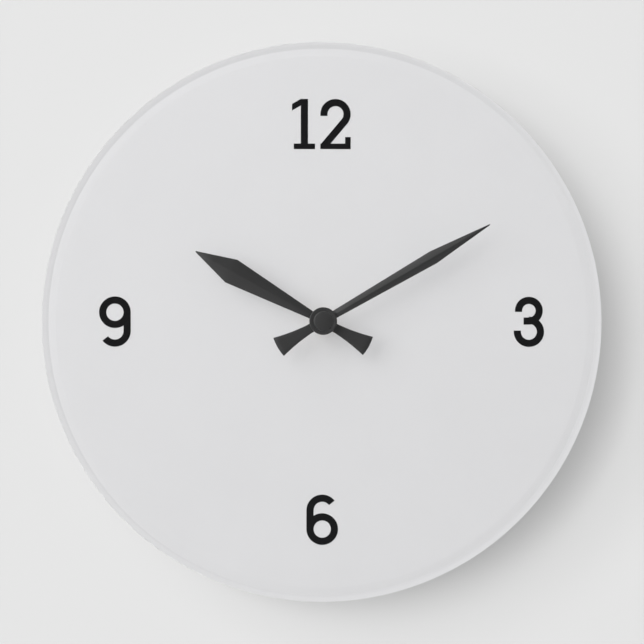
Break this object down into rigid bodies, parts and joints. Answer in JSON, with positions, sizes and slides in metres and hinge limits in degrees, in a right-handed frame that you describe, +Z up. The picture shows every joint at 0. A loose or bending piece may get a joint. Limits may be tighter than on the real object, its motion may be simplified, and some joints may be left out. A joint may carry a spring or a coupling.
{
  "type": "wall clock",
  "caption": "Frameless round wall clock: clear disc printed white on its back, broad dark hands with a stepped cap, and a battery quartz movement with its wheel train behind.",
  "frame": {"origin": "centre of the hands' axis on the movement's back face, which lies on the wall", "axes": "+Z up to twelve, -Y out of the dial towards the viewer, +Y into the wall, +X towards three"},
  "size_m": [0.273, 0.0354, 0.273],
  "materials": {
    "acrylic": "clear cast acrylic, printed white on the back, polished edge",
    "dark_paint": "satin dark grey paint on pressed aluminium sheet",
    "dark_cap": "moulded in the colour of the hands",
    "brass": "turned brass",
    "washer_steel": "zinc plated",
    "arbor_steel": "spring steel",
    "contact_steel": "nickel plated spring steel",
    "case_black": "moulded, fine texture",
    "washer_rubber": "flat moulded rubber",
    "bridge_plastic": "natural acetal",
    "wheel_white": "white acetal",
    "knob_white": "moulded",
    "magnet": "sintered ferrite",
    "soft_iron": "annealed",
    "copper_wire": "enamelled copper wire",
    "board_green": "phenolic board",
    "resin_black": "cured resin",
    "crystal_can": "tinned can",
    "cell_jacket": "plain jacket over a steel can"
  },
  "bodies": {
    "clock_body": {"acrylic_disc": "acrylic", "cushion_washer": "washer_rubber", "dial_washer": "washer_steel", "dial_nut": "brass", "rear_case": "case_black", "front_case": "case_black", "centre_bush": "brass", "hanger": "washer_steel", "train_bridge": "bridge_plastic", "stator": "soft_iron", "coil_core": "soft_iron", "coil_bobbin": "bridge_plastic", "coil_winding": "copper_wire", "circuit_board": "board_green", "ic_blob": "resin_black", "quartz_crystal": "crystal_can", "positive_contact": "contact_steel", "negative_contact": "contact_steel"},
    "minute_drive": {"minute_arbor": "brass", "clutch_spring": "arbor_steel", "minute_hand": "dark_paint", "minute_hand_bush": "brass", "centre_cap": "dark_cap"},
    "hour_drive": {"hour_wheel": "wheel_white", "hour_hand": "dark_paint", "hour_hand_bush": "brass"},
    "motion_wheel": {"minute_wheel": "wheel_white"},
    "knob": {"setting_knob": "knob_white", "knob_pinion": "wheel_white"},
    "rotor": {"rotor_magnet": "magnet", "rotor_pinion": "bridge_plastic"},
    "fifth_arbor": {"fifth_wheel": "bridge_plastic"},
    "second_arbor": {"second_wheel": "bridge_plastic"},
    "third_arbor": {"third_wheel": "bridge_plastic"},
    "centre_arbor": {"centre_wheel": "wheel_white"},
    "cell": {"aa_cell": "cell_jacket"}
  },
  "joints": [
    {"name": "minute_hand_turn", "type": "hinge", "parent": "clock_body", "child": "minute_drive", "pos_m": [0, -0.031, 0], "axis": [0, 1, 0], "continuous": true},
    {"name": "hour_hand_turn", "type": "hinge", "parent": "clock_body", "child": "hour_drive", "pos_m": [0, -0.02855, 0], "axis": [0, 1, 0], "continuous": true},
    {"name": "motion_wheel_turn", "type": "hinge", "parent": "clock_body", "child": "motion_wheel", "pos_m": [0.00996, -0.0108, -0.00087], "axis": [0, 1, 0], "continuous": true},
    {"name": "setting_knob_turn", "type": "hinge", "parent": "clock_body", "child": "knob", "pos_m": [0.01936, -0.0004, 0.00255], "axis": [0, 1, 0], "continuous": true},
    {"name": "rotor_turn", "type": "hinge", "parent": "clock_body", "child": "rotor", "pos_m": [-0.01213, -0.00452, 0.00626], "axis": [0, 1, 0], "continuous": true},
    {"name": "fifth_wheel_turn", "type": "hinge", "parent": "clock_body", "child": "fifth_arbor", "pos_m": [-0.00926, -0.0035, -0.00163], "axis": [0, 1, 0], "continuous": true},
    {"name": "second_wheel_turn", "type": "hinge", "parent": "clock_body", "child": "second_arbor", "pos_m": [0, -0.0024, 0], "axis": [0, 1, 0], "continuous": true},
    {"name": "third_wheel_turn", "type": "hinge", "parent": "clock_body", "child": "third_arbor", "pos_m": [0.0045, -0.0056, 0.00779], "axis": [0, 1, 0], "continuous": true},
    {"name": "centre_wheel_turn", "type": "hinge", "parent": "clock_body", "child": "centre_arbor", "pos_m": [0, -0.0073, 0], "axis": [0, 1, 0], "continuous": true},
    {"name": "cell_lift", "type": "slide", "parent": "clock_body", "child": "cell", "axis": [0, 1, 0], "range_m": [0, 0.018]}
  ],
  "couplings": [
    {"joint": "motion_wheel_turn", "follows": "minute_hand_turn", "ratio": -0.33333},
    {"joint": "hour_hand_turn", "follows": "minute_hand_turn", "ratio": 0.083333},
    {"joint": "setting_knob_turn", "follows": "minute_hand_turn", "ratio": 1},
    {"joint": "fifth_wheel_turn", "follows": "rotor_turn", "ratio": -0.16667},
    {"joint": "second_wheel_turn", "follows": "rotor_turn", "ratio": 0.033333},
    {"joint": "third_wheel_turn", "follows": "rotor_turn", "ratio": -0.0044444},
    {"joint": "centre_wheel_turn", "follows": "rotor_turn", "ratio": 0.00055556}
  ]
}
